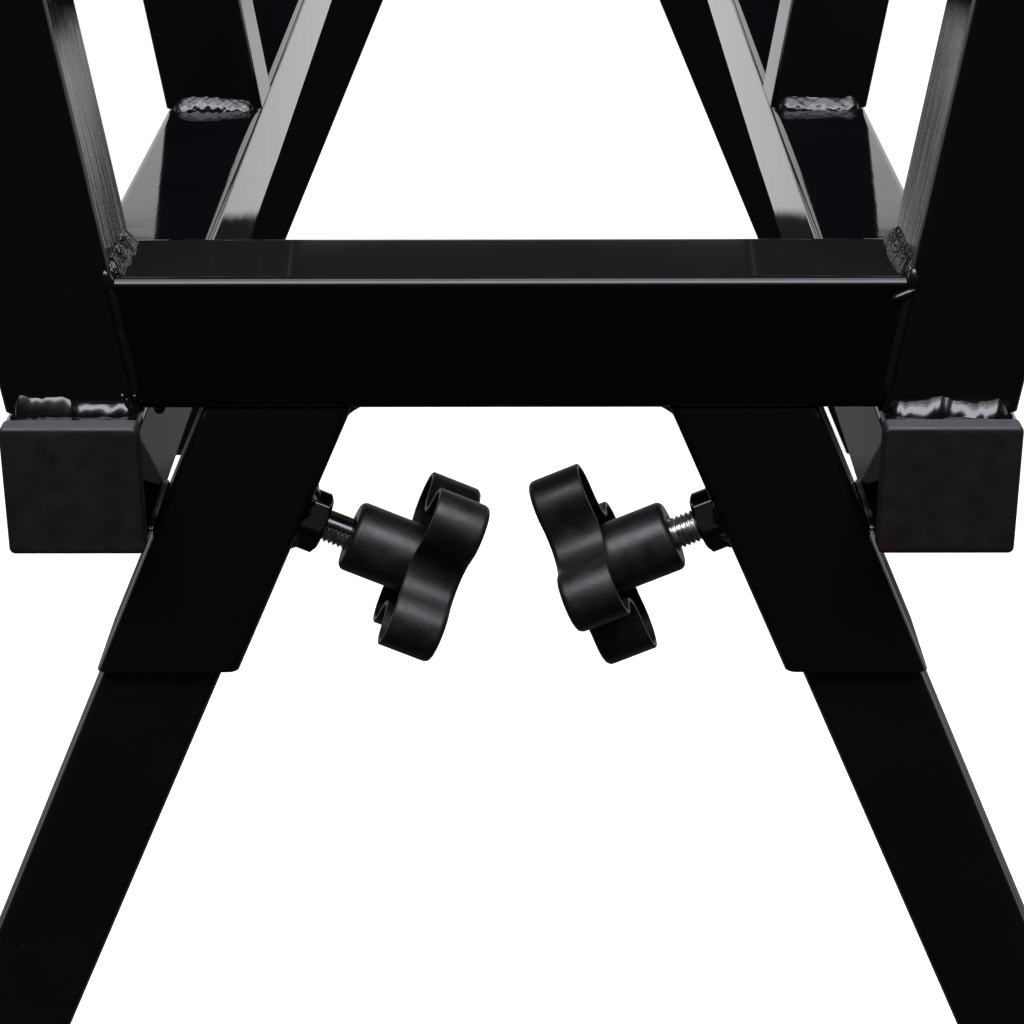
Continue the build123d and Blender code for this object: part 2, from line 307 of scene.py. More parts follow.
def gloss_paint(name, relief, gloss, speck_amount, colours=(PAINT_DEEP, PAINT_PALE)):
    """Sprayed gloss black: tone and gloss drift a little over the coat, and specks of dust lie in it."""
    material, tree, shader, where = new_material(name, COAT_TONE, colours, gloss)
    coat = {"Place": where["Object"], "Along": where["UV"], "Fineness": PEEL_FINENESS, **relief}
    bump_into(tree, shader, group_result(tree, sprayed_relief, coat))
    dust = {"Place": where["Object"], "Fineness": DUST_FINENESS, "Amount": speck_amount}
    lay_over(tree, shader, group_result(tree, specks, dust), DUST)
    shader.inputs["IOR"].default_value = PAINT_IOR
    return material


frame_paint = gloss_paint("frame_paint", FRAME_RELIEF, gloss=(0.03, 0.07), speck_amount=0.3)

for side_name in SIDES:
    low, high = corners_of(f"rail_{side_name}")
    rail_width = high[0] - low[0]
    rail_run = run_along((low + high) / 2, LENGTHWISE, ACROSS)
    rail = tube_stack(rail_run, rail_width, (low, LENGTHWISE), (high, LENGTHWISE))
    add_piece(f"rail_tube_{side_name}", [rail], frame_paint, "frame", "frame_paint", f"rail_{side_name}")


# Uprights
# Four pairs of the same tube stand on the rails and lean outwards, so that logs settle between them.
# Each is sawn level at its foot, sawn square at its top and welded to the rail across its front and rear.

STATIONS = ("front", "second", "third", "rear")
UPRIGHT_LEAN = math.radians(9.0)
TUBE = rail_width
rail_low, rail_high = corners_of("rail_right")
RAIL_X = (rail_low[0] + rail_high[0]) / 2
RAIL_TOP = rail_high[2]
UPRIGHT_RELIEF = {"Peel": 2e-6, "Wave": 3e-5, "Lines": 2e-5}

upright_paint = gloss_paint("upright_paint", UPRIGHT_RELIEF, gloss=(0.03, 0.07), speck_amount=0.3)


def upright_axis(side):
    """Direction of an upright, up and outwards."""
    return np.array([side * math.sin(UPRIGHT_LEAN), 0.0, math.cos(UPRIGHT_LEAN)])


def upright_run(side, y):
    """Run of an upright from the middle of its foot on the rail."""
    return run_along(np.array([side * RAIL_X, y, RAIL_TOP]), upright_axis(side), LENGTHWISE)


station_y = {}
for station in STATIONS:
    for side_name, side in SIDES.items():
        place = f"{station}_{side_name}"
        node = f"upright_{place}"
        low, high = corners_of(node)
        station_y[station] = (low[1] + high[1]) / 2
        height = high[2] - low[2] - TUBE / 2 * math.sin(UPRIGHT_LEAN)
        upright_length = height / math.cos(UPRIGHT_LEAN)
        run = upright_run(side, station_y[station])
        foot = (run[0], UP)
        top = (run[0] + upright_length * run[3], run[3])
        stack = tube_stack(run, TUBE, foot, top)
        add_piece(f"upright_tube_{place}", [stack], upright_paint, "frame", "frame_paint", node)


# End caps
# Moulded black plastic plugs close the rails' ends and the tops of the uprights.
# Each has a square flange with a rounded rim, as wide as the tube, and a hollow plug that grips inside it.

CAP_FLANGE = 0.0065
CAP_CORNER = 0.0018
CAP_ROUND = 0.0012
CAP_STEPS = 6
PLUG_DEPTH = 0.014
PLUG_WALL = 0.002
PLUG_GAP = 0.00015
PLASTIC_DEEP = (0.0046, 0.0026, 0.0046, 1.0)
PLASTIC_PALE = (0.0066, 0.0042, 0.0066, 1.0)
PLASTIC_GLEAM = 0.42
# Paler colour of the caps' up-facing faces: painted light, as a top lit from above looks
CAP_TOP_LIGHT = (0.040, 0.039, 0.043, 1.0)
GRAIN_FINENESS = 1500.0
SINK_FINENESS = 60.0
SINK_DEPTH = 4e-5
PLASTIC_TONE = (180.0, 5.0)
SCUFF_FINENESS = 700.0
# How far up a face looks where painted light on its top starts, and where it covers it
LIT_TOP_COVER = (0.75, 0.98)


def make_moulded_grain():
    """Group: height of a moulded plastic skin in metres, from a fine grain and slow sink marks."""
    sockets = {"Place": "NodeSocketVector", "Grain": "NodeSocketFloat", "Sink": "NodeSocketFloat"}
    tree, given, result = shader_group("moulded_grain", sockets, {"Height": "NodeSocketFloat"})
    grain = noise_about_zero(tree, given.outputs["Place"], GRAIN_FINENESS, detail=3.0)
    sink = noise_about_zero(tree, given.outputs["Place"], SINK_FINENESS, detail=1.0)
    fine = math_node(tree, "MULTIPLY", grain, given.outputs["Grain"])
    slow = math_node(tree, "MULTIPLY", sink, given.outputs["Sink"])
    tree.links.new(math_node(tree, "ADD", fine, slow), result.inputs["Height"])
    return tree


moulded_grain = make_moulded_grain()


def satin_plastic(name, colours, grain, gloss, speck_amount):
    """Moulded black plastic: fine grain, a satin sheen that drifts, and pale scuff specks."""
    material, tree, shader, where = new_material(name, PLASTIC_TONE, colours, gloss)
    skin = {"Place": where["Object"], "Grain": grain, "Sink": SINK_DEPTH}
    bump_into(tree, shader, group_result(tree, moulded_grain, skin))
    scuffs = {"Place": where["Object"], "Fineness": SCUFF_FINENESS, "Amount": speck_amount}
    lay_over(tree, shader, group_result(tree, specks, scuffs), DUST)
    shader.inputs["Specular IOR Level"].default_value = PLASTIC_GLEAM
    return material


def coat_and_painted_light(material, towards, limits, colour, dulling):
    """Coat over the faces of a piece that look one way, by their normals, which also changes the roughness.

    It lays real paint on a stud, and painted light on the up-facing faces of caps and crossbars.
    The limits are how far a normal points that way where the coat starts, and where it covers the face.
    """
    tree = material.node_tree
    shader = tree.nodes["Principled BSDF"]
    normal = tree.nodes.new("ShaderNodeTexCoord").outputs["Normal"]
    facing = add_node(tree, "ShaderNodeVectorMath", {0: normal, 1: towards}, operation="DOT_PRODUCT")
    ramp = {"Value": facing.outputs["Value"], "From Min": limits[0], "From Max": limits[1]}
    cover = add_node(tree, "ShaderNodeMapRange", ramp).outputs["Result"]
    lay_over(tree, shader, cover, colour)
    roughness = shader.inputs["Roughness"]
    duller = math_node(tree, "MULTIPLY", cover, dulling)
    tree.links.new(math_node(tree, "ADD", roughness.links[0].from_socket, duller), roughness)
    return tree, shader, cover


cap_colours = (PLASTIC_DEEP, PLASTIC_PALE)
cap_plastic = satin_plastic("cap_plastic", cap_colours, grain=8e-6, gloss=(0.48, 0.60), speck_amount=0.2)
# Painted light: the caps' up-facing faces are drawn paler, as a top lit from above looks
coat_and_painted_light(cap_plastic, UP, LIT_TOP_COVER, CAP_TOP_LIGHT, dulling=0.0)


def plug_outlines(width):
    """Outer and inner outline of the hollow plug inside a tube."""
    outer = width - 2 * TUBE_WALL - 2 * PLUG_GAP
    grip = rounded_square(outer, TUBE_CORNER - TUBE_WALL)
    return grip, rounded_square(outer - 2 * PLUG_WALL, PLUG_WALL / 4)


def end_cap(run):
    """Rings of a cap on a tube's end, from the plug's blind bottom round its wall and out over the flange.

    The flange's rim is a quarter circle: each ring moves in by one minus the cosine and up by the sine of
    the turn.
    """
    grip, hollow = plug_outlines(TUBE)
    rings = [
        ring_at(hollow, run, 0.0),
        ring_at(hollow, run, -PLUG_DEPTH),
        ring_at(grip, run, -PLUG_DEPTH),
        ring_at(grip, run, 0.0),
        ring_at(rounded_square(TUBE, CAP_CORNER), run, 0.0),
    ]
    for turn in np.linspace(0.0, math.pi / 2, CAP_STEPS):
        inset = CAP_ROUND * (1 - math.cos(turn))
        height = CAP_FLANGE - CAP_ROUND + CAP_ROUND * math.sin(turn)
        rings.append(ring_at(rounded_square(TUBE - 2 * inset, CAP_CORNER - inset), run, height))
    rings.append(ring_at(rounded_square(TUBE - 4 * CAP_ROUND, CAP_CORNER / 4), run, CAP_FLANGE))
    return np.stack(rings), False


for side_name, side in SIDES.items():
    low, high = corners_of(f"rail_{side_name}")
    middle = (low + high) / 2
    for end_name, end in ENDS.items():
        place = f"{end_name}_{side_name}"
        node = f"rail_cap_{place}"
        rail_end = np.array([middle[0], high[1] if end > 0 else low[1], middle[2]])
        cap = end_cap(run_along(rail_end, end * LENGTHWISE, ACROSS))
        add_piece(f"rail_plug_{place}", [cap], cap_plastic, "frame", "cap_plastic", node)
    for station, y in station_y.items():
        place = f"{station}_{side_name}"
        node = f"upright_cap_{place}"
        foot, across, _, axis = upright_run(side, y)
        cap = end_cap(run_along(foot + upright_length * axis, axis, across))
        add_piece(f"upright_plug_{place}", [cap], cap_plastic, "frame", "cap_plastic", node)


# Weld beads at the uprights' feet
# A hand-laid bead fills the corner between the rail and the upright, on its front and on its rear.
# The bead is lumpy where the weld pool froze, and the paint lies over it thick and shiny.

FOOT_BEAD = 0.0046
FOOT_FULLNESS = 1.5
FOOT_SEED = 11
RUN_SEEDS = 100
BEAD_RINGS = 120
BEAD_SPAN = (0.01, 0.99)
BEAD_SIDES = 28
BEAD_BURIED = 0.3
END_TAPER = 8
# Each swell keeps to its length within a range, and its phase wobbles by an angle over some lengths
SWELL_DRIFT = (0.7, 1.4)
SWELL_WOBBLE = 1.2
WOBBLE_LENGTHS = 3.1
# Swells of a bead: length, share of the leg, and how many times it goes round the bead's section
BEAD_SWELLS = ((0.0340, 0.12, 1), (0.0120, 0.10, 1), (0.0071, 0.05, 2), (0.0040, 0.02, 2))
FINE_SWELLS = (
    (0.0340, 0.10, 1), (0.0150, 0.05, -2), (0.0080, 0.020, 5), (0.0056, 0.015, -8), (0.0037, 0.010, 12),
)
# Runs of the front beads: where each starts and ends, in shares of half the flat, then how far it reaches
# along the rail and up the upright, in shares of the leg. The left one is laid in two runs.
FRONT_RUNS = {
    "left": ((-1.0, 0.05, 0.62, 1.15), (0.0, 1.0, 0.5, 0.62)),
    "right": ((-1.0, 1.0, 0.85, 0.9),),
}
PLAIN_RUNS = ((-1.0, 1.0, 1.0, 1.0),)
# Drops by the front left foot: half length, half width and height, then the way in from the corner and up
FOOT_DROPS = (
    ((0.0011, 0.0009, 0.0009), 0.0052, 0.0052),
    ((0.0009, 0.0007, 0.0007), 0.0017, 0.0052),
    ((0.0022, 0.0007, 0.0007), 0.0040, 0.0024),
)
DROP_SIDES = 24
DROP_RINGS = 12
DROP_TURN = (-0.7, 1.45)
DROP_FULLER = 0.12
DROP_SKEW = 0.6
DROP_LOBED = 0.06
WELD_RELIEF = {"Peel": 6e-6, "Wave": 6e-5, "Lines": 0.0}

weld_paint = gloss_paint("weld_paint", WELD_RELIEF, gloss=(0.17, 0.27), speck_amount=0.3)


def bead_swell(way, turn, draw, swells):
    """Lumps of a bead: sines of the way along it and of the turn round it, each with seeded phases."""
    lumps = 0.0
    for length, share, slant in swells:
        drift = draw.uniform(*SWELL_DRIFT)
        phases = draw.uniform(0.0, 2 * math.pi, 2)
        wobble = SWELL_WOBBLE * np.sin(2 * math.pi * way / (WOBBLE_LENGTHS * length) + phases[1])
        wave = 2 * math.pi * drift * way / length + slant * turn + wobble + phases[0]
        lumps = lumps + share * np.sin(wave)
    return lumps


def bead_section(turn, fullness):
    """Section of a bead in shares of its leg along the two faces, for each turn round the corner.

    Cosine and sine, raised to the fullness, swell between the faces; 1 is a round bead and 2 a flat one.
    Behind the faces the section shrinks, so that it stays inside the tube's wall.
    """
    def lobed(wave):
        reach = np.sign(wave) * np.abs(wave) ** fullness
        return np.where(wave > 0, reach, BEAD_BURIED * reach)

    return lobed(np.cos(turn)), lobed(np.sin(turn))


def weld_bead(start, end, first, second, leg, fullness, seed, swells, fineness=1):
    """Rings of a bead in the corner line from start to end, between the directions of two faces.

    Its leg follows the lumps and rounds off to nothing at both ends, as the root of one minus a high power
    does. Two thirds of the section's points lie in the quarter turn that shows.
    """
    if np.cross(first, second) @ (end - start) < 0:
        first, second = second, first
    draw = np.random.default_rng(seed)
    share = 0.5 - 0.5 * np.cos(np.linspace(*BEAD_SPAN, BEAD_RINGS * fineness) * math.pi)[:, None]
    showing = np.linspace(0.0, math.pi / 2, BEAD_SIDES * fineness * 2 // 3, endpoint=False)
    buried = np.linspace(math.pi / 2, 2 * math.pi, BEAD_SIDES * fineness // 3, endpoint=False)
    turn = np.concatenate([showing, buried])[None]
    length = np.linalg.norm(end - start)
    taper = np.sqrt(1 - (2 * share - 1) ** END_TAPER)
    size = leg * taper * (1 + bead_swell(share * length, turn, draw, swells))
    along_first, along_second = bead_section(turn, fullness)
    line = start + share[..., None] * (end - start)
    offset = (size * along_first)[..., None] * first + (size * along_second)[..., None] * second
    return line + offset, False


def weld_drop(middle, along, normal, sizes):
    """Rings of a blob: ellipses that shrink by the cosine and rise by the sine of a turn.

    The turn starts below the face. The sizes are the half length, the half width and the height, and one side
    is a little fuller than the other.
    """
    length, width, height = sizes
    angle = np.linspace(0.0, 2 * math.pi, DROP_SIDES, endpoint=False)[None]
    turn = np.linspace(*DROP_TURN, DROP_RINGS)[:, None]
    fuller = 1 + DROP_FULLER * np.sin(angle + DROP_SKEW) + DROP_LOBED * np.sin(3 * angle)
    across = np.cross(normal, along)
    rings = (length * np.cos(turn) * fuller * np.cos(angle))[..., None] * along
    rings = rings + (width * np.cos(turn) * fuller * np.sin(angle))[..., None] * across
    return middle + rings + (height * np.sin(turn))[..., None] * normal, False


foot_beads = []
half_flat = TUBE / 2 - TUBE_CORNER
foot_edges = itertools.product(station_y.items(), SIDES.items(), (-1.0, 1.0))
for index, ((station, y), (side_name, side), face) in enumerate(foot_edges):
    corner = np.array([side * RAIL_X, y + face * TUBE / 2, RAIL_TOP])
    foremost = station == "front" and face < 0
    swells = BEAD_SWELLS if foremost else FINE_SWELLS
    bead_runs = FRONT_RUNS[side_name] if foremost else PLAIN_RUNS
    for number, (start, end, along, rise) in enumerate(bead_runs):
        seed = FOOT_SEED + index + RUN_SEEDS * number
        ends = (corner + start * half_flat * ACROSS, corner + end * half_flat * ACROSS)
        faces = (along * face * LENGTHWISE, rise * UP)
        foot_beads.append(weld_bead(*ends, *faces, FOOT_BEAD, FOOT_FULLNESS, seed, swells))

inner_corner = np.array([TUBE / 2 - RAIL_X, station_y["front"] - TUBE / 2, RAIL_TOP])
for sizes, way_in, rise in FOOT_DROPS:
    foot_beads.append(weld_drop(inner_corner - way_in * ACROSS + rise * UP, UP, -LENGTHWISE, sizes))
add_piece("upright_foot_beads", foot_beads, weld_paint, "frame", "weld_paint", "upright_foot_welds")


# Crossbars
# A length of the same tube ties each end pair of uprights just above the rails.
# Its ends are sawn to the uprights' slant and welded to their inner faces. Its paint is drawn darker than the
# frame's, as painted shade, and paler on its level top, as painted light.

# Colours of the crossbar's paint, darker than the frame's: painted shade
CROSSBAR_SHADE_DEEP = (0.0008, 0.0008, 0.0008, 1.0)
CROSSBAR_SHADE_PALE = (0.0015, 0.0015, 0.0015, 1.0)
# Paler colour of the crossbar's level top, painted light, and how much rougher the top is made there
CROSSBAR_TOP_LIGHT = (0.0072, 0.0062, 0.0064, 1.0)
LIT_TOP_DULLING = 0.01
BAR_GLEAM = 0.3
BAR_RELIEF = {"Peel": 6e-7, "Wave": 6e-6, "Lines": 5e-7}

crossbar_shade_colours = (CROSSBAR_SHADE_DEEP, CROSSBAR_SHADE_PALE)
# The crossbar's paint is the frame's drawn darker, as painted shade, and its up-facing faces paler, as
# painted light
crossbar_shaded_paint = gloss_paint("crossbar_shaded_paint", BAR_RELIEF, gloss=(0.02, 0.04), speck_amount=0.3, colours=crossbar_shade_colours)
coat_and_painted_light(crossbar_shaded_paint, UP, LIT_TOP_COVER, CROSSBAR_TOP_LIGHT, LIT_TOP_DULLING)
crossbar_shaded_paint.node_tree.nodes["Principled BSDF"].inputs["Specular IOR Level"].default_value = BAR_GLEAM


def upright_inner_face(side):
    """Point on the inner face of the uprights of one side, and the face's direction."""
    inward = np.array([-side * math.cos(UPRIGHT_LEAN), 0.0, math.sin(UPRIGHT_LEAN)])
    return np.array([side * RAIL_X, 0.0, RAIL_TOP]) + TUBE / 2 * inward, inward


for end_name in ENDS:
    node = f"crossbar_{end_name}"
    low, high = corners_of(node)
    crossbar_run = run_along((low + high) / 2, ACROSS, LENGTHWISE)
    cuts = (upright_inner_face(-1.0), upright_inner_face(1.0))
    bar = tube_stack(crossbar_run, TUBE, *cuts)
    add_piece(f"crossbar_tube_{end_name}", [bar], crossbar_shaded_paint, "frame", "frame_paint", node)


# Weld beads at the crossbars' ends
# A narrow rough bead runs along the crossbar's top against the upright and ends in a blob on its corner.
# A smooth seam, ground nearly flush, runs down the outer face. Paint covers both: one drop of it hangs below
# the front crossbar, and a short run of it lies beside the right seam.

CROSSBAR_BEAD = 0.0034
CROSSBAR_RISE = 1.5
CROSSBAR_FULLNESS = 1.5
CROSSBAR_SEED = 31
SEAM_BEAD = 0.0028
SEAM_FULLNESS = 1.3
SEAM_SUNK = 0.0018
SEAM_SHIFT = 0.0012
ROUGH_SWELLS = (
    (0.017, 0.10, 1), (0.0022, 0.018, -7), (0.0019, 0.018, 8), (0.0014, 0.016, -13), (0.0012, 0.015, 15),
    (0.0010, 0.013, 20),
)
SMOOTH_SWELLS = ((0.015, 0.10, 1), (0.007, 0.05, 2))
SEAM_SWELLS = ((0.015, 0.05, 1), (0.007, 0.02, 2))
BLOB_SIZE = (0.0036, 0.0020, 0.0015)
BLOB_RISE = -0.0010
DRIP_SIZE = (0.0017, 0.0017, 0.0021)
DRIP_X = -0.1028
RUN_SIZE = (0.0036, 0.0011, 0.0012)
RUN_IN = 0.0018
RUN_DROP = 0.0050
RUN_SLANT = math.radians(23.0)
ROUGH_RELIEF = {"Peel": 1e-4, "Fineness": 1100.0, "Wave": 6e-5, "Lines": 0.0}
SEAM_RELIEF = {"Peel": 4e-6, "Wave": 4e-5, "Lines": 0.0}

rough_paint = gloss_paint("rough_weld_paint", ROUGH_RELIEF, gloss=(0.12, 0.20), speck_amount=0.5)
seam_paint = gloss_paint("seam_paint", SEAM_RELIEF, gloss=(0.22, 0.32), speck_amount=0.3)

crossbar_beads = []
seam_beads = []
paint_drops = []
for end_name, end in ENDS.items():
    low, high = corners_of(f"crossbar_{end_name}")
    outer_y, inner_y = (low[1], high[1]) if end < 0 else (high[1], low[1])
    outward = end * LENGTHWISE
    for side in SIDES.values():
        point, inward = upright_inner_face(side)
        lean = upright_axis(side)
        top_line = point + (high[2] - point[2]) / lean[2] * lean
        low_line = point + (low[2] + TUBE_CORNER - point[2]) / lean[2] * lean
        start = np.array([top_line[0], outer_y - end * TUBE_CORNER / 2, high[2]])
        finish = np.array([top_line[0], inner_y + end * TUBE_CORNER, high[2]])
        seed = len(crossbar_beads) + CROSSBAR_SEED
        faces = (-side * ACROSS, CROSSBAR_RISE * lean)
        bead = (CROSSBAR_BEAD, CROSSBAR_FULLNESS, seed, ROUGH_SWELLS)
        crossbar_beads.append(weld_bead(start, finish, *faces, *bead, fineness=2))

        seam_y = outer_y - end * SEAM_SUNK
        seam_shift = side * SEAM_SHIFT
        seam_start = np.array([low_line[0] + seam_shift, seam_y, low_line[2]])
        seam_end = np.array([top_line[0] + seam_shift, seam_y, high[2]])
        faces = (-side * ACROSS, outward)
        bead = (SEAM_BEAD, SEAM_FULLNESS, seed + 1, SEAM_SWELLS)
        seam_beads.append(weld_bead(seam_start, seam_end, *faces, *bead))
        sharp_corner = np.array([top_line[0], outer_y, high[2]]) + BLOB_RISE * lean
        rounded_off = TUBE_CORNER * (1 - math.sqrt(0.5)) * (outward + inward)
        corner_normal = (outward + inward) / math.sqrt(2.0)
        paint_drops.append(weld_drop(sharp_corner - rounded_off, lean, corner_normal, BLOB_SIZE))
add_piece("crossbar_top_beads", crossbar_beads, rough_paint, "frame", "weld_paint", "crossbar_welds")

low, high = corners_of("crossbar_front")
drip = np.array([DRIP_X, low[1] + TUBE_CORNER, low[2]])
paint_drops.append(weld_drop(drip, ACROSS, -UP, DRIP_SIZE))
# The loop above ends on the right side, and its top line is where the run of paint lies.
slant = math.cos(RUN_SLANT) * ACROSS + math.sin(RUN_SLANT) * UP
edge_run = np.array([top_line[0] - RUN_IN, low[1], high[2] - RUN_DROP])
paint_drops.append(weld_drop(edge_run, slant, -LENGTHWISE, RUN_SIZE))
add_piece("crossbar_seam_beads", seam_beads, seam_paint, "frame", "weld_paint")
add_piece("crossbar_drops", paint_drops, weld_paint, "frame", "weld_paint")


# Leg sockets
# Short splayed lengths of the frame tube hang from the crossbars and take the legs.
# Each is sawn level top and bottom, welded under the crossbar along its inner face, and welded to the rail
# beside it.

CORNERS = {f"{end}_{side}": (ENDS[end], SIDES[side]) for end, side in itertools.product(ENDS, SIDES)}
SOCKET_BEAD = 0.006
SOCKET_FULLNESS = 2.6
SOCKET_SEED = 51
RAIL_SIDE_BEAD = 0.0024
RAIL_SIDE_FULLNESS = 1.2
RAIL_SIDE_SEEDS = 40
RAIL_SIDE_RISE = 0.9
RAIL_SIDE_SWELLS = ((0.034, 0.08, 1), (0.019, 0.04, 1))


def joint_named(name):
    """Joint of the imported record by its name."""
    return next(joint for joint in frame["joints"] if joint["name"] == name)


def leg_run(node, side, axis):
    """Run up a splayed tube's middle line, from the level of its lower end, and its node's corners.

    The tube leans only across the sawhorse, so its size along the sawhorse is its width.
    """
    low, high = corners_of(node)
    inner_top = low[0] if side > 0 else high[0]
    half_level = (high[1] - low[1]) / 2 / abs(axis[2])
    top = np.array([inner_top + side * half_level, (low[1] + high[1]) / 2, high[2]])
    drop = (high[2] - low[2]) / abs(axis[2])
    return run_along(top + drop * axis, -axis, LENGTHWISE), (low, high)


socket_beads = []
side_beads = []
for corner_name, (_, side) in CORNERS.items():
    node = f"leg_socket_{corner_name}"
    axis = np.array(joint_named(f"leg_slide_{corner_name}")["axis"])
    run, (low, high) = leg_run(node, side, axis)
    stack = tube_stack(run, TUBE, (low, UP), (high, UP))
    add_piece(f"socket_tube_{corner_name}", [stack], frame_paint, "frame", "frame_paint", node)
    inner_top = low[0] if side > 0 else high[0]
    start = np.array([inner_top, low[1] + TUBE_CORNER, high[2]])
    finish = np.array([inner_top, high[1] - TUBE_CORNER, high[2]])
    seed = len(socket_beads) + SOCKET_SEED
    bead = (SOCKET_BEAD, SOCKET_FULLNESS, seed, SMOOTH_SWELLS)
    socket_beads.append(weld_bead(start, finish, -side * ACROSS, axis, *bead))

    # A second bead, between the socket's outer face and the round lower corner of the rail beside it.
    outer = np.array([-side * axis[2], 0.0, side * axis[0]])
    rail_corner = np.array([side * (RAIL_X - TUBE / 2 + TUBE_CORNER), 0.0, RAIL_TOP - TUBE + TUBE_CORNER])
    reach = (rail_corner - run[0]) @ outer - TUBE / 2
    nearest = rail_corner - (reach + TUBE_CORNER) / 2 * outer
    start = nearest + (low[1] + TUBE_CORNER / 2) * LENGTHWISE
    finish = nearest + (high[1] - TUBE_CORNER / 2) * LENGTHWISE
    bead = (RAIL_SIDE_BEAD, RAIL_SIDE_FULLNESS, seed + RAIL_SIDE_SEEDS, RAIL_SIDE_SWELLS)
    side_beads.append(weld_bead(start, finish, -RAIL_SIDE_RISE * axis, outer, *bead))
add_piece("socket_beads", socket_beads, weld_paint, "frame", "weld_paint", "socket_welds")
add_piece("socket_side_beads", side_beads, seam_paint, "frame", "weld_paint")


# Legs
# A narrower tube with the same wall slides in each socket and is clamped by the star knob's screw.
# It is painted like the frame, a little duller and with more dust in the coat.

LEG_DEEP = (0.0032, 0.0027, 0.0037, 1.0)
LEG_PALE = (0.0045, 0.0038, 0.0051, 1.0)
LEG_RELIEF = {"Peel": 4e-6, "Wave": 7e-5, "Lines": 8e-6}
TREAD_INSET = 0.003
TREAD_EDGE = 0.001

leg_colours = (LEG_DEEP, LEG_PALE)
leg_paint = gloss_paint("leg_paint", LEG_RELIEF, gloss=(0.07, 0.13), speck_amount=0.45, colours=leg_colours)

for corner_name, (_, side) in CORNERS.items():
    node = f"leg_{corner_name}"
    axis = np.array(joint_named(f"leg_slide_{corner_name}")["axis"])
    run, (low, high) = leg_run(node, side, axis)
    leg_width = high[1] - low[1]
    stack = tube_stack(run, leg_width, (low, UP), (high, UP))
    add_piece(f"leg_tube_{corner_name}", [stack], leg_paint, f"leg_{corner_name}", "leg_paint", node)

    # Its foot: a moulded plastic plug with a thick sole, cut level with the floor.
    foot_node = f"leg_foot_{corner_name}"
    foot_low, foot_high = corners_of(foot_node)
    grip, hollow = plug_outlines(leg_width)
    sole = rounded_square(leg_width, TUBE_CORNER)
    tread = rounded_square(leg_width - TREAD_INSET, TUBE_CORNER)
    plug_top = (foot_high, run[3])
    sole_top = (low, UP)
    rings = [
        ring_on(hollow, run, *sole_top),
        ring_on(hollow, run, *plug_top),
        ring_on(grip, run, *plug_top),
        ring_on(grip, run, *sole_top),
        ring_on(sole, run, *sole_top),
        ring_on(sole, run, foot_low + TREAD_EDGE * UP, UP),
        ring_on(tread, run, foot_low, UP),
    ]
    foot = (np.stack(rings)[:, ::-1], False)
    add_piece(f"foot_plug_{corner_name}", [foot], cap_plastic, f"leg_{corner_name}", "cap_plastic", foot_node)


# Clamp nuts
# A hexagon nut is welded on the inner face of each socket, over the hole for the clamp screw.
# It is painted black with the frame, and its weld shows as a lumpy ring round its foot.

NUT_FLATS = 0.017
NUT_THICKNESS = 0.008
NUT_CHAMFER = 0.0012
CHAMFER_SLOPE = 1.6
CHAMFER_STEPS = 7
NUT_BORE = 0.00505
BORE_CHAMFER = 0.0006
NUT_SIDES = 144
NUT_SHARPNESS = 40
NUT_BEAD = 0.0022
NUT_BEAD_TUCK = 0.001
NUT_BEAD_STEPS = 160
NUT_BEAD_SIDES = 20
NUT_BEAD_FULLNESS = 1.5
NUT_BEAD_SEED = 71
PHASE_RANGE = 6.3
# Waves round the nut and their share of the bead; each lump also has its waves round the bead's section
HEAVY_SIDES = ((2, 0.4), (5, 0.2))
RING_LUMPS = ((11, 0.12, 2), (19, 0.07, 1))


def screw_run(corner_name):
    """Run of a clamp screw, out of the socket's inner face, with its side pointing up the socket."""
    turn = joint_named(f"knob_turn_{corner_name}")
    up_socket = -np.array(joint_named(f"leg_slide_{corner_name}")["axis"])
    return run_along(np.array(turn["pos_m"]), np.array(turn["axis"]), up_socket)


def polar(radius, angle):
    """Outline of a radius for each angle."""
    return np.stack([radius * np.cos(angle), radius * np.sin(angle)], axis=-1)


def hexagon_radius(angle, flats):
    """Distance from a hexagon's middle to its side, with the corners a little round under the paint.

    It is half the flats over the cosine of the turn from a side. A high power sum of the six cosines, in
    place of the greatest of them, rounds the corners.
    """
    turns = np.cos(angle[..., None] - np.arange(6) * math.pi / 3)
    return flats / 2 / (np.maximum(turns, 0.0) ** NUT_SHARPNESS).sum(axis=-1) ** (1 / NUT_SHARPNESS)


def nut_rings(run):
    """Rings of a nut whose outer corners are turned off by a cone, as the lesser of hexagon and cone."""
    angle = np.linspace(0.0, 2 * math.pi, NUT_SIDES, endpoint=False)
    hexagon = hexagon_radius(angle, NUT_FLATS)
    widest = hexagon.max()
    shoulder = NUT_THICKNESS - NUT_CHAMFER
    rings = []
    for height in np.concatenate([[0.0], shoulder + np.linspace(0.0, NUT_CHAMFER, CHAMFER_STEPS)]):
        cone = widest - max(0.0, height - shoulder) * CHAMFER_SLOPE
        rings.append(ring_at(polar(np.minimum(hexagon, cone), angle), run, height))
    rings.append(ring_at(polar(NUT_BORE + BORE_CHAMFER, angle), run, NUT_THICKNESS))
    rings.append(ring_at(polar(NUT_BORE, angle), run, NUT_THICKNESS - BORE_CHAMFER))
    rings.append(ring_at(polar(NUT_BORE, angle), run, 0.0))
    return np.stack(rings), True


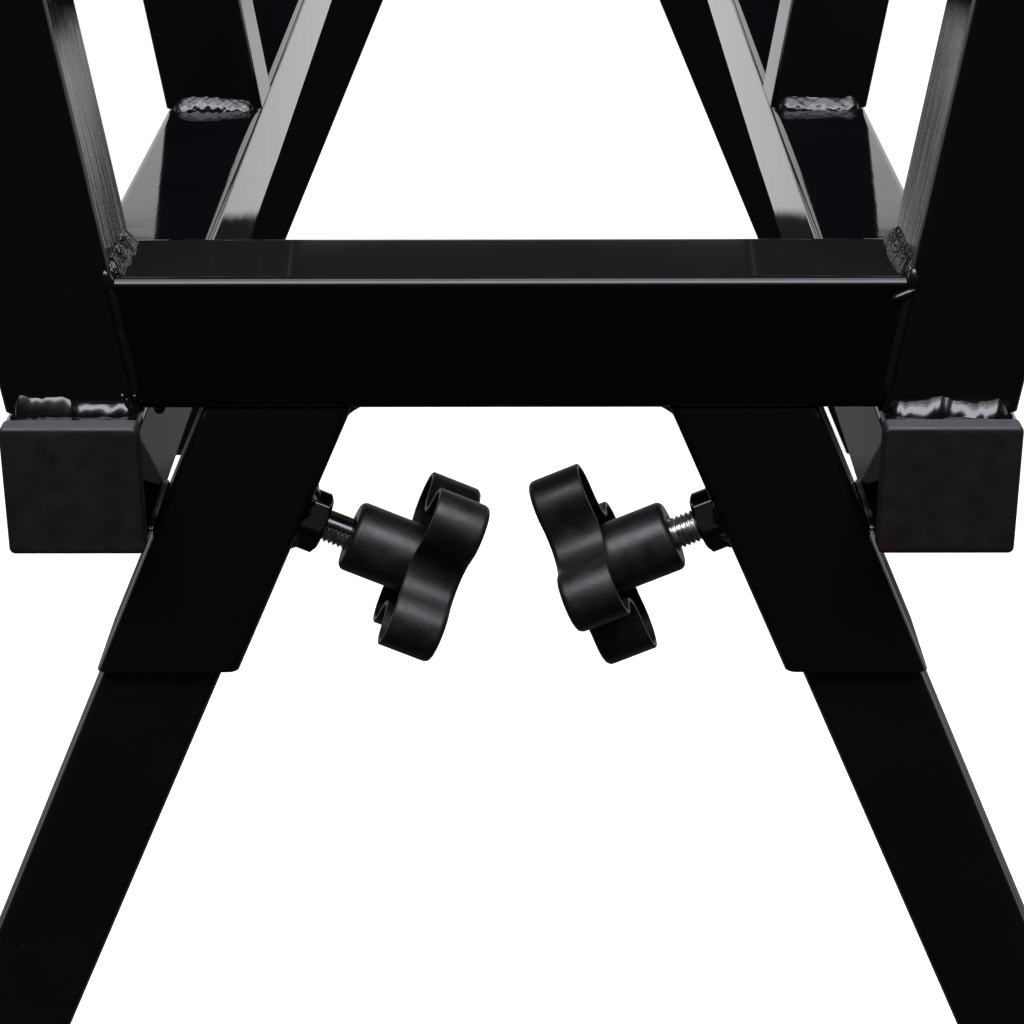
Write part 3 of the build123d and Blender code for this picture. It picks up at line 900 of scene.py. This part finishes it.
def ring_bead(run, seed):
    """Looped bead round the nut's foot, a bead's section carried round the hexagon.

    The section grows and shrinks by sines of the turn round the nut, heavy on some sides and lumpy all round.
    """
    origin, side, other, axis = run
    draw = np.random.default_rng(seed)
    angle = np.linspace(0.0, 2 * math.pi, NUT_BEAD_STEPS, endpoint=False)
    turn = np.linspace(0.0, 2 * math.pi, NUT_BEAD_SIDES, endpoint=False)[None]
    corner = hexagon_radius(angle, NUT_FLATS - NUT_BEAD_TUCK)
    radial = np.cos(angle)[:, None] * side + np.sin(angle)[:, None] * other
    heavy = 1.0
    for waves, share in HEAVY_SIDES:
        heavy = heavy + share * np.sin(waves * angle + draw.uniform(0, PHASE_RANGE))
    lumps = 1.0
    for waves, share, slant in RING_LUMPS:
        lumps = lumps + share * np.sin(waves * angle[:, None] + slant * turn)
    size = NUT_BEAD * heavy[:, None] * lumps
    out_share, up_share = bead_section(turn, NUT_BEAD_FULLNESS)
    rings = origin + (corner[:, None] + size * out_share)[..., None] * radial[:, None]
    rings = rings + (size * up_share)[..., None] * axis
    return rings[:, ::-1], True


nut_beads = []
for corner_name in CORNERS:
    run = screw_run(corner_name)
    node = f"weld_nut_{corner_name}"
    add_piece(f"nut_{corner_name}", [nut_rings(run)], frame_paint, "frame", "frame_paint", node)
    nut_beads.append(ring_bead(run, len(nut_beads) + NUT_BEAD_SEED))
add_piece("nut_beads", nut_beads, weld_paint, "frame", "weld_paint")


# Clamp studs
# A zinc plated M10 stud with a rolled thread is moulded into each knob and bears on the leg.
# On one of them a run of the frame's black paint has filled the thread along its upper side.

PAINTED_STUD = "front_left"
PAINT_RUN_TURN = math.radians(-10.0)
PAINT_RUN_EDGE = 4.0
# How far a face may turn from the paint's side: where the coat starts, and where it covers
PAINT_COVER = (-0.05, 0.10)
PAINT_SMOOTHING = -0.15
STUD_RADIUS = 0.005
THREAD_PITCH = 0.0015
THREAD_DEPTH = 0.0007
THREAD_ROOT = 0.12
THREAD_FLANK = 0.7
THREAD_SIDES = 48
RINGS_PER_PITCH = 10
STUD_CHAMFER = 0.001
ZINC_DEEP = (0.42, 0.42, 0.41, 1.0)
ZINC_PALE = (0.72, 0.72, 0.70, 1.0)
ZINC_GLOSS = (0.22, 0.38)
ZINC_TONE = (320.0, 3.0)
CRYSTAL_FINENESS = 1800.0
CRYSTAL_DEPTH = 6e-6


def zinc_plating(name):
    """Bright zinc plate: a pale metal with a cloudy tone and a fine grain."""
    material, tree, shader, where = new_material(name, ZINC_TONE, (ZINC_DEEP, ZINC_PALE), ZINC_GLOSS)
    shader.inputs["Metallic"].default_value = 1.0
    grain = noise_about_zero(tree, where["Object"], CRYSTAL_FINENESS, detail=2.0)
    bump_into(tree, shader, math_node(tree, "MULTIPLY", grain, CRYSTAL_DEPTH))
    return material


zinc_steel = zinc_plating("zinc_steel")
painted_zinc = zinc_plating("painted_zinc")


def thread_rings(run, start, end, painted):
    """Rings of a screw thread: the radius follows a flattened saw-tooth of height less turn.

    The tooth's share is the distance from the nearest root in half pitches, scaled and clipped so that crests
    and roots are flat. A run of paint fills the thread over the half turn about its upper side.
    """
    origin, side, other, axis = run
    count = int((end - start) / THREAD_PITCH * RINGS_PER_PITCH)
    height = np.linspace(start, end, count)[:, None]
    angle = np.linspace(0.0, 2 * math.pi, THREAD_SIDES, endpoint=False)[None]
    phase = np.mod(height / THREAD_PITCH - angle / (2 * math.pi), 1.0)
    tooth = np.clip((np.abs(2 * phase - 1) - THREAD_ROOT) / THREAD_FLANK, 0.0, 1.0)
    if painted:
        filling = np.clip(0.5 + PAINT_RUN_EDGE * np.cos(angle - PAINT_RUN_TURN), 0.0, 1.0)
        tooth = np.maximum(tooth, filling)
    radius = STUD_RADIUS - THREAD_DEPTH * (1 - tooth)
    radius = np.minimum(radius, STUD_RADIUS - STUD_CHAMFER + (height - start))
    radial = np.cos(angle)[..., None] * side + np.sin(angle)[..., None] * other
    return origin + height[..., None] * axis + radius[..., None] * radial, False


def heights_of(node, run):
    """Heights of a CAD node's points along a run."""
    vertices = frame["nodes"][node].data.vertices
    points = np.empty(len(vertices) * 3, dtype=np.float32)
    vertices.foreach_get("co", points)
    return (points.reshape(-1, 3) - run[0]) @ run[3]


for corner_name in CORNERS:
    node = f"clamp_stud_{corner_name}"
    run = screw_run(corner_name)
    heights = heights_of(node, run)
    painted = corner_name == PAINTED_STUD
    if painted:
        towards = math.cos(PAINT_RUN_TURN) * run[1] + math.sin(PAINT_RUN_TURN) * run[2]
        coat = (towards, PAINT_COVER, PAINT_PALE, PAINT_SMOOTHING)
        tree, shader, cover = coat_and_painted_light(painted_zinc, *coat)
        tree.links.new(math_node(tree, "SUBTRACT", 1.0, cover), shader.inputs["Metallic"])
    stack = thread_rings(run, heights.min(), heights.max(), painted)
    plating = painted_zinc if painted else zinc_steel
    add_piece(f"stud_{corner_name}", [stack], plating, node, "zinc_steel", node)


# Star knobs
# Four-lobed hand knobs moulded in black plastic, hollow towards the nut, with a round hub on the stud.
# The wall is thin, so the rim shows as a fine line all round the lobes.

KNOB_DIAMETER = 0.0645
KNOB_LOBES = 4
LOBE_RADIUS = 0.15 * KNOB_DIAMETER
VALLEY_RADIUS = 0.14 * KNOB_DIAMETER
KNOB_RIM = 0.0165
KNOB_SHELL = 0.0016
KNOB_FACE = 0.003
KNOB_ROUND = 0.002
KNOB_ROUND_STEPS = 7
FACE_EDGE = 0.0005
RIM_ROUND = 0.0003
HOLLOW_ROUND = 0.0004
HUB_RADIUS = 0.011
HUB_ROUND = 0.002
HUB_ROUND_STEPS = 6
HUB_ROOT = 0.001
HUB_ROOT_STEPS = 4
HUB_BORE = 0.00505
BORE_LEAD = 0.0008
BORE_STOP = 0.010
HUB_START = 0.0163
KNOB_TURNS = {"front_left": 29.5, "front_right": -3.5, "rear_left": 50.0, "rear_right": 15.0}
LOBE_STEPS = 14
VALLEY_STEPS = 9
KNOB_DEEP = (0.0028, 0.0032, 0.0036, 1.0)
KNOB_PALE = (0.0050, 0.0056, 0.0062, 1.0)

knob_colours = (KNOB_DEEP, KNOB_PALE)
knob_plastic = satin_plastic("knob_plastic", knob_colours, grain=5e-5, gloss=(0.34, 0.52), speck_amount=0.5)


def star_outline(inset):
    """Outline of the knob: round lobes joined by hollow valleys, moved in by an inset.

    A lobe's arc and a valley's meet on the line between their centres. One lobe and one valley are drawn on
    the complex plane and turned round for the others.
    """
    lobe = LOBE_RADIUS - inset
    valley = VALLEY_RADIUS + inset
    half_step = math.pi / KNOB_LOBES
    lobe_reach = KNOB_DIAMETER / 2 - LOBE_RADIUS
    across = lobe_reach * math.sin(half_step)
    valley_reach = lobe_reach * math.cos(half_step) + math.sqrt((lobe + valley) ** 2 - across ** 2)
    valley_centre = valley_reach * np.exp(1j * half_step)
    lean = np.angle(valley_centre - lobe_reach)
    lobe_arc = lobe_reach + lobe * np.exp(1j * np.linspace(-lean, lean, LOBE_STEPS))
    turn = np.linspace(lean, 2 * half_step - lean, VALLEY_STEPS)[1:-1]
    valley_arc = valley_centre - valley * np.exp(1j * turn)
    leaf = np.concatenate([lobe_arc, valley_arc])
    star = np.concatenate([leaf * np.exp(2j * half_step * index) for index in range(KNOB_LOBES)])
    return np.stack([star.real, star.imag], axis=1)


def knob_rings(run, end):
    """Rings of a knob: out of the bore, over the hub, across the hollow, round the rim and over the face."""
    star = star_outline(0.0)
    angle = np.arctan2(star[:, 1], star[:, 0])
    rings = []

    def round_ring(radius, height):
        rings.append(ring_at(polar(np.full(len(angle), radius), angle), run, height))

    def star_ring(inset, height):
        rings.append(ring_at(star_outline(inset), run, height))

    floor = end - KNOB_FACE
    rim = end - KNOB_RIM
    round_ring(HUB_BORE, floor - BORE_STOP)
    round_ring(HUB_BORE, HUB_START + BORE_LEAD)
    round_ring(HUB_BORE + BORE_LEAD, HUB_START)
    for turn in np.linspace(0.0, math.pi / 2, HUB_ROUND_STEPS):
        inset = HUB_ROUND * (1 - math.sin(turn))
        round_ring(HUB_RADIUS - inset, HUB_START + HUB_ROUND * (1 - math.cos(turn)))
    for turn in np.linspace(0.0, math.pi / 2, HUB_ROOT_STEPS):
        flare = HUB_ROOT * (1 - math.cos(turn))
        round_ring(HUB_RADIUS + flare, floor - HUB_ROOT * (1 - math.sin(turn)))
    star_ring(KNOB_SHELL + HOLLOW_ROUND, floor)
    star_ring(KNOB_SHELL, floor - HOLLOW_ROUND)
    star_ring(KNOB_SHELL, rim + RIM_ROUND)
    star_ring(KNOB_SHELL - RIM_ROUND, rim)
    star_ring(RIM_ROUND, rim)
    star_ring(0.0, rim + RIM_ROUND)
    for turn in np.linspace(0.0, math.pi / 2, KNOB_ROUND_STEPS):
        star_ring(KNOB_ROUND * (1 - math.cos(turn)), end - KNOB_ROUND * (1 - math.sin(turn)))
    star_ring(KNOB_ROUND + FACE_EDGE, end)
    round_ring(HUB_RADIUS / 2, end)
    return np.stack(rings), False


for corner_name, (end, _) in CORNERS.items():
    node = f"star_knob_{corner_name}"
    origin, up_socket, _, axis = screw_run(corner_name)
    angle = math.radians(KNOB_TURNS[corner_name])
    lobe_side = math.cos(angle) * up_socket + math.sin(angle) * end * LENGTHWISE
    run = run_along(origin, axis, lobe_side)
    stack = knob_rings(run, heights_of(node, run).max())
    add_piece(f"knob_{corner_name}", [stack], knob_plastic, node, "knob_plastic", node)


# Studio
# The gloss paint mirrors a white floor and a white wall of limited height behind the sawhorse.
# The rest of the room is dim, and two soft lights hang overhead, one of them in front for the satin plastic.
# The floor that shows in the picture is plain and pale.

FLOOR_SIZE = 14.0
FLOOR_GLOW = 0.75
FLOOR_GLOSS = (0.9, 0.9)
FLOOR_TONE = (3.0, 2.0)
WHITE = (1.0, 1.0, 1.0, 1.0)
FLOOR_DEEP = (0.80, 0.80, 0.80, 1.0)
FLOOR_PALE = (0.82, 0.82, 0.82, 1.0)
DAYLIGHT = (0.99, 0.97, 1.06)
# Soft lights: place, point aimed at, size and power in watts
SOFTBOXES = {
    "softbox_above": ((0.0, -0.45, 2.15), (0.0, -0.45, 0.0), (1.5, 0.6), 14.0),
    "softbox_front": ((0.0, -1.2, 1.85), (0.0, -0.55, 0.45), (2.2, 0.8), 54.0),
}
# Degrees above the horizon, and how bright the surround is there
GLOW_BEHIND = (
    (-90, 0.10), (-26, 0.10), (-23.2, 0.03), (-22.4, 0.12), (-21, 0.12), (-20, 0.02), (-17.0, 0.02),
    (-16.8, 0.75), (-1, 0.75),
    (1, 1.0), (17.2, 1.0), (17.4, 0.0), (60, 0.0), (90, 0.30),
)
GLOW_BEFORE = ((-90, 0.02), (22, 0.02), (45, 0.50), (90, 0.40))
# How far back a direction points where the surround changes from one to the other
SURROUND_CHANGE = (-0.15, 0.25)


def pale_floor(name):
    """White floor that glows a little, so that shadows on it stay soft."""
    material, _, shader, _ = new_material(name, FLOOR_TONE, (FLOOR_DEEP, FLOOR_PALE), FLOOR_GLOSS)
    shader.inputs["Emission Color"].default_value = WHITE
    shader.inputs["Emission Strength"].default_value = FLOOR_GLOW
    return material


def glow_by_height(tree, height, steps):
    """Brightness of the surround by height above the horizon, a sum of straight ramps from step to step."""
    total = steps[0][1]
    for (low, low_glow), (high, high_glow) in zip(steps, steps[1:]):
        limits = {"From Min": math.sin(math.radians(low)), "From Max": math.sin(math.radians(high))}
        limits.update({"Value": height, "To Min": 0.0, "To Max": high_glow - low_glow})
        ramp = add_node(tree, "ShaderNodeMapRange", limits).outputs["Result"]
        total = math_node(tree, "ADD", total, ramp)
    return total


reach = FLOOR_SIZE / 2
floor_corners = [(-reach, -reach, 0), (reach, -reach, 0), (reach, reach, 0), (-reach, reach, 0)]
floor_mesh = bpy.data.meshes.new("floor")
floor_mesh.from_pydata(floor_corners, [], [(0, 1, 2, 3)])
floor_mesh.materials.append(pale_floor("pale_floor"))
floor = add_object("floor", floor_mesh)
floor.visible_glossy = False
floor.visible_diffuse = False

for name, (place, aim, size, power) in SOFTBOXES.items():
    light = bpy.data.lights.new(name, "AREA")
    light.shape = "RECTANGLE"
    light.size, light.size_y = size
    light.energy = power
    light.color = DAYLIGHT
    softbox = add_object(name, light)
    softbox.location = place
    softbox.rotation_euler = (Vector(aim) - Vector(place)).to_track_quat("-Z", "Y").to_euler()

world = bpy.data.worlds.new("studio")
world.use_nodes = True
bpy.context.scene.world = world
tree = world.node_tree
looking = tree.nodes.new("ShaderNodeTexCoord").outputs["Generated"]
direction = add_node(tree, "ShaderNodeSeparateXYZ", {0: looking})
change = {"Value": direction.outputs["Y"], "From Min": SURROUND_CHANGE[0], "From Max": SURROUND_CHANGE[1]}
turned_away = add_node(tree, "ShaderNodeMapRange", change, interpolation_type="SMOOTHSTEP").outputs["Result"]
glow_before = glow_by_height(tree, direction.outputs["Z"], GLOW_BEFORE)
glow_behind = glow_by_height(tree, direction.outputs["Z"], GLOW_BEHIND)
surround = blend_colours(tree, turned_away, glow_before, glow_behind)
seen = tree.nodes.new("ShaderNodeLightPath").outputs["Is Camera Ray"]
backdrop = blend_colours(tree, seen, surround, WHITE)
tree.links.new(backdrop, tree.nodes["Background"].inputs["Color"])


# Camera
# It stands in front of one end, between the rails, and looks down along them.

CAMERA_PLACE = np.array([0.005404, -1.203172, 0.712489])
CAMERA_TILT = math.radians(23.966)
CAMERA_YAW = math.radians(-0.444)
CAMERA_ROLL = math.radians(-0.235)
FOCAL_LENGTH_PIXELS = 2441.18
IMAGE_PIXELS = 1024
SENSOR_WIDTH = 36.0

camera_data = bpy.data.cameras.new("camera")
camera_data.sensor_width = SENSOR_WIDTH
camera_data.lens = SENSOR_WIDTH * FOCAL_LENGTH_PIXELS / IMAGE_PIXELS
camera = add_object("camera", camera_data)
level = math.cos(CAMERA_TILT)
forward = np.array([math.sin(CAMERA_YAW) * level, math.cos(CAMERA_YAW) * level, -math.sin(CAMERA_TILT)])
right = np.array([math.cos(CAMERA_YAW), -math.sin(CAMERA_YAW), 0.0])
upward = np.cross(right, forward)
rolled_right = math.cos(CAMERA_ROLL) * right + math.sin(CAMERA_ROLL) * upward
rolled_up = -math.sin(CAMERA_ROLL) * right + math.cos(CAMERA_ROLL) * upward
placing = np.eye(4)
placing[:3] = np.stack([rolled_right, rolled_up, -forward, CAMERA_PLACE], axis=1)
camera.matrix_world = Matrix(placing.tolist())
bpy.context.scene.camera = camera
bpy.context.scene.view_settings.view_transform = "Standard"
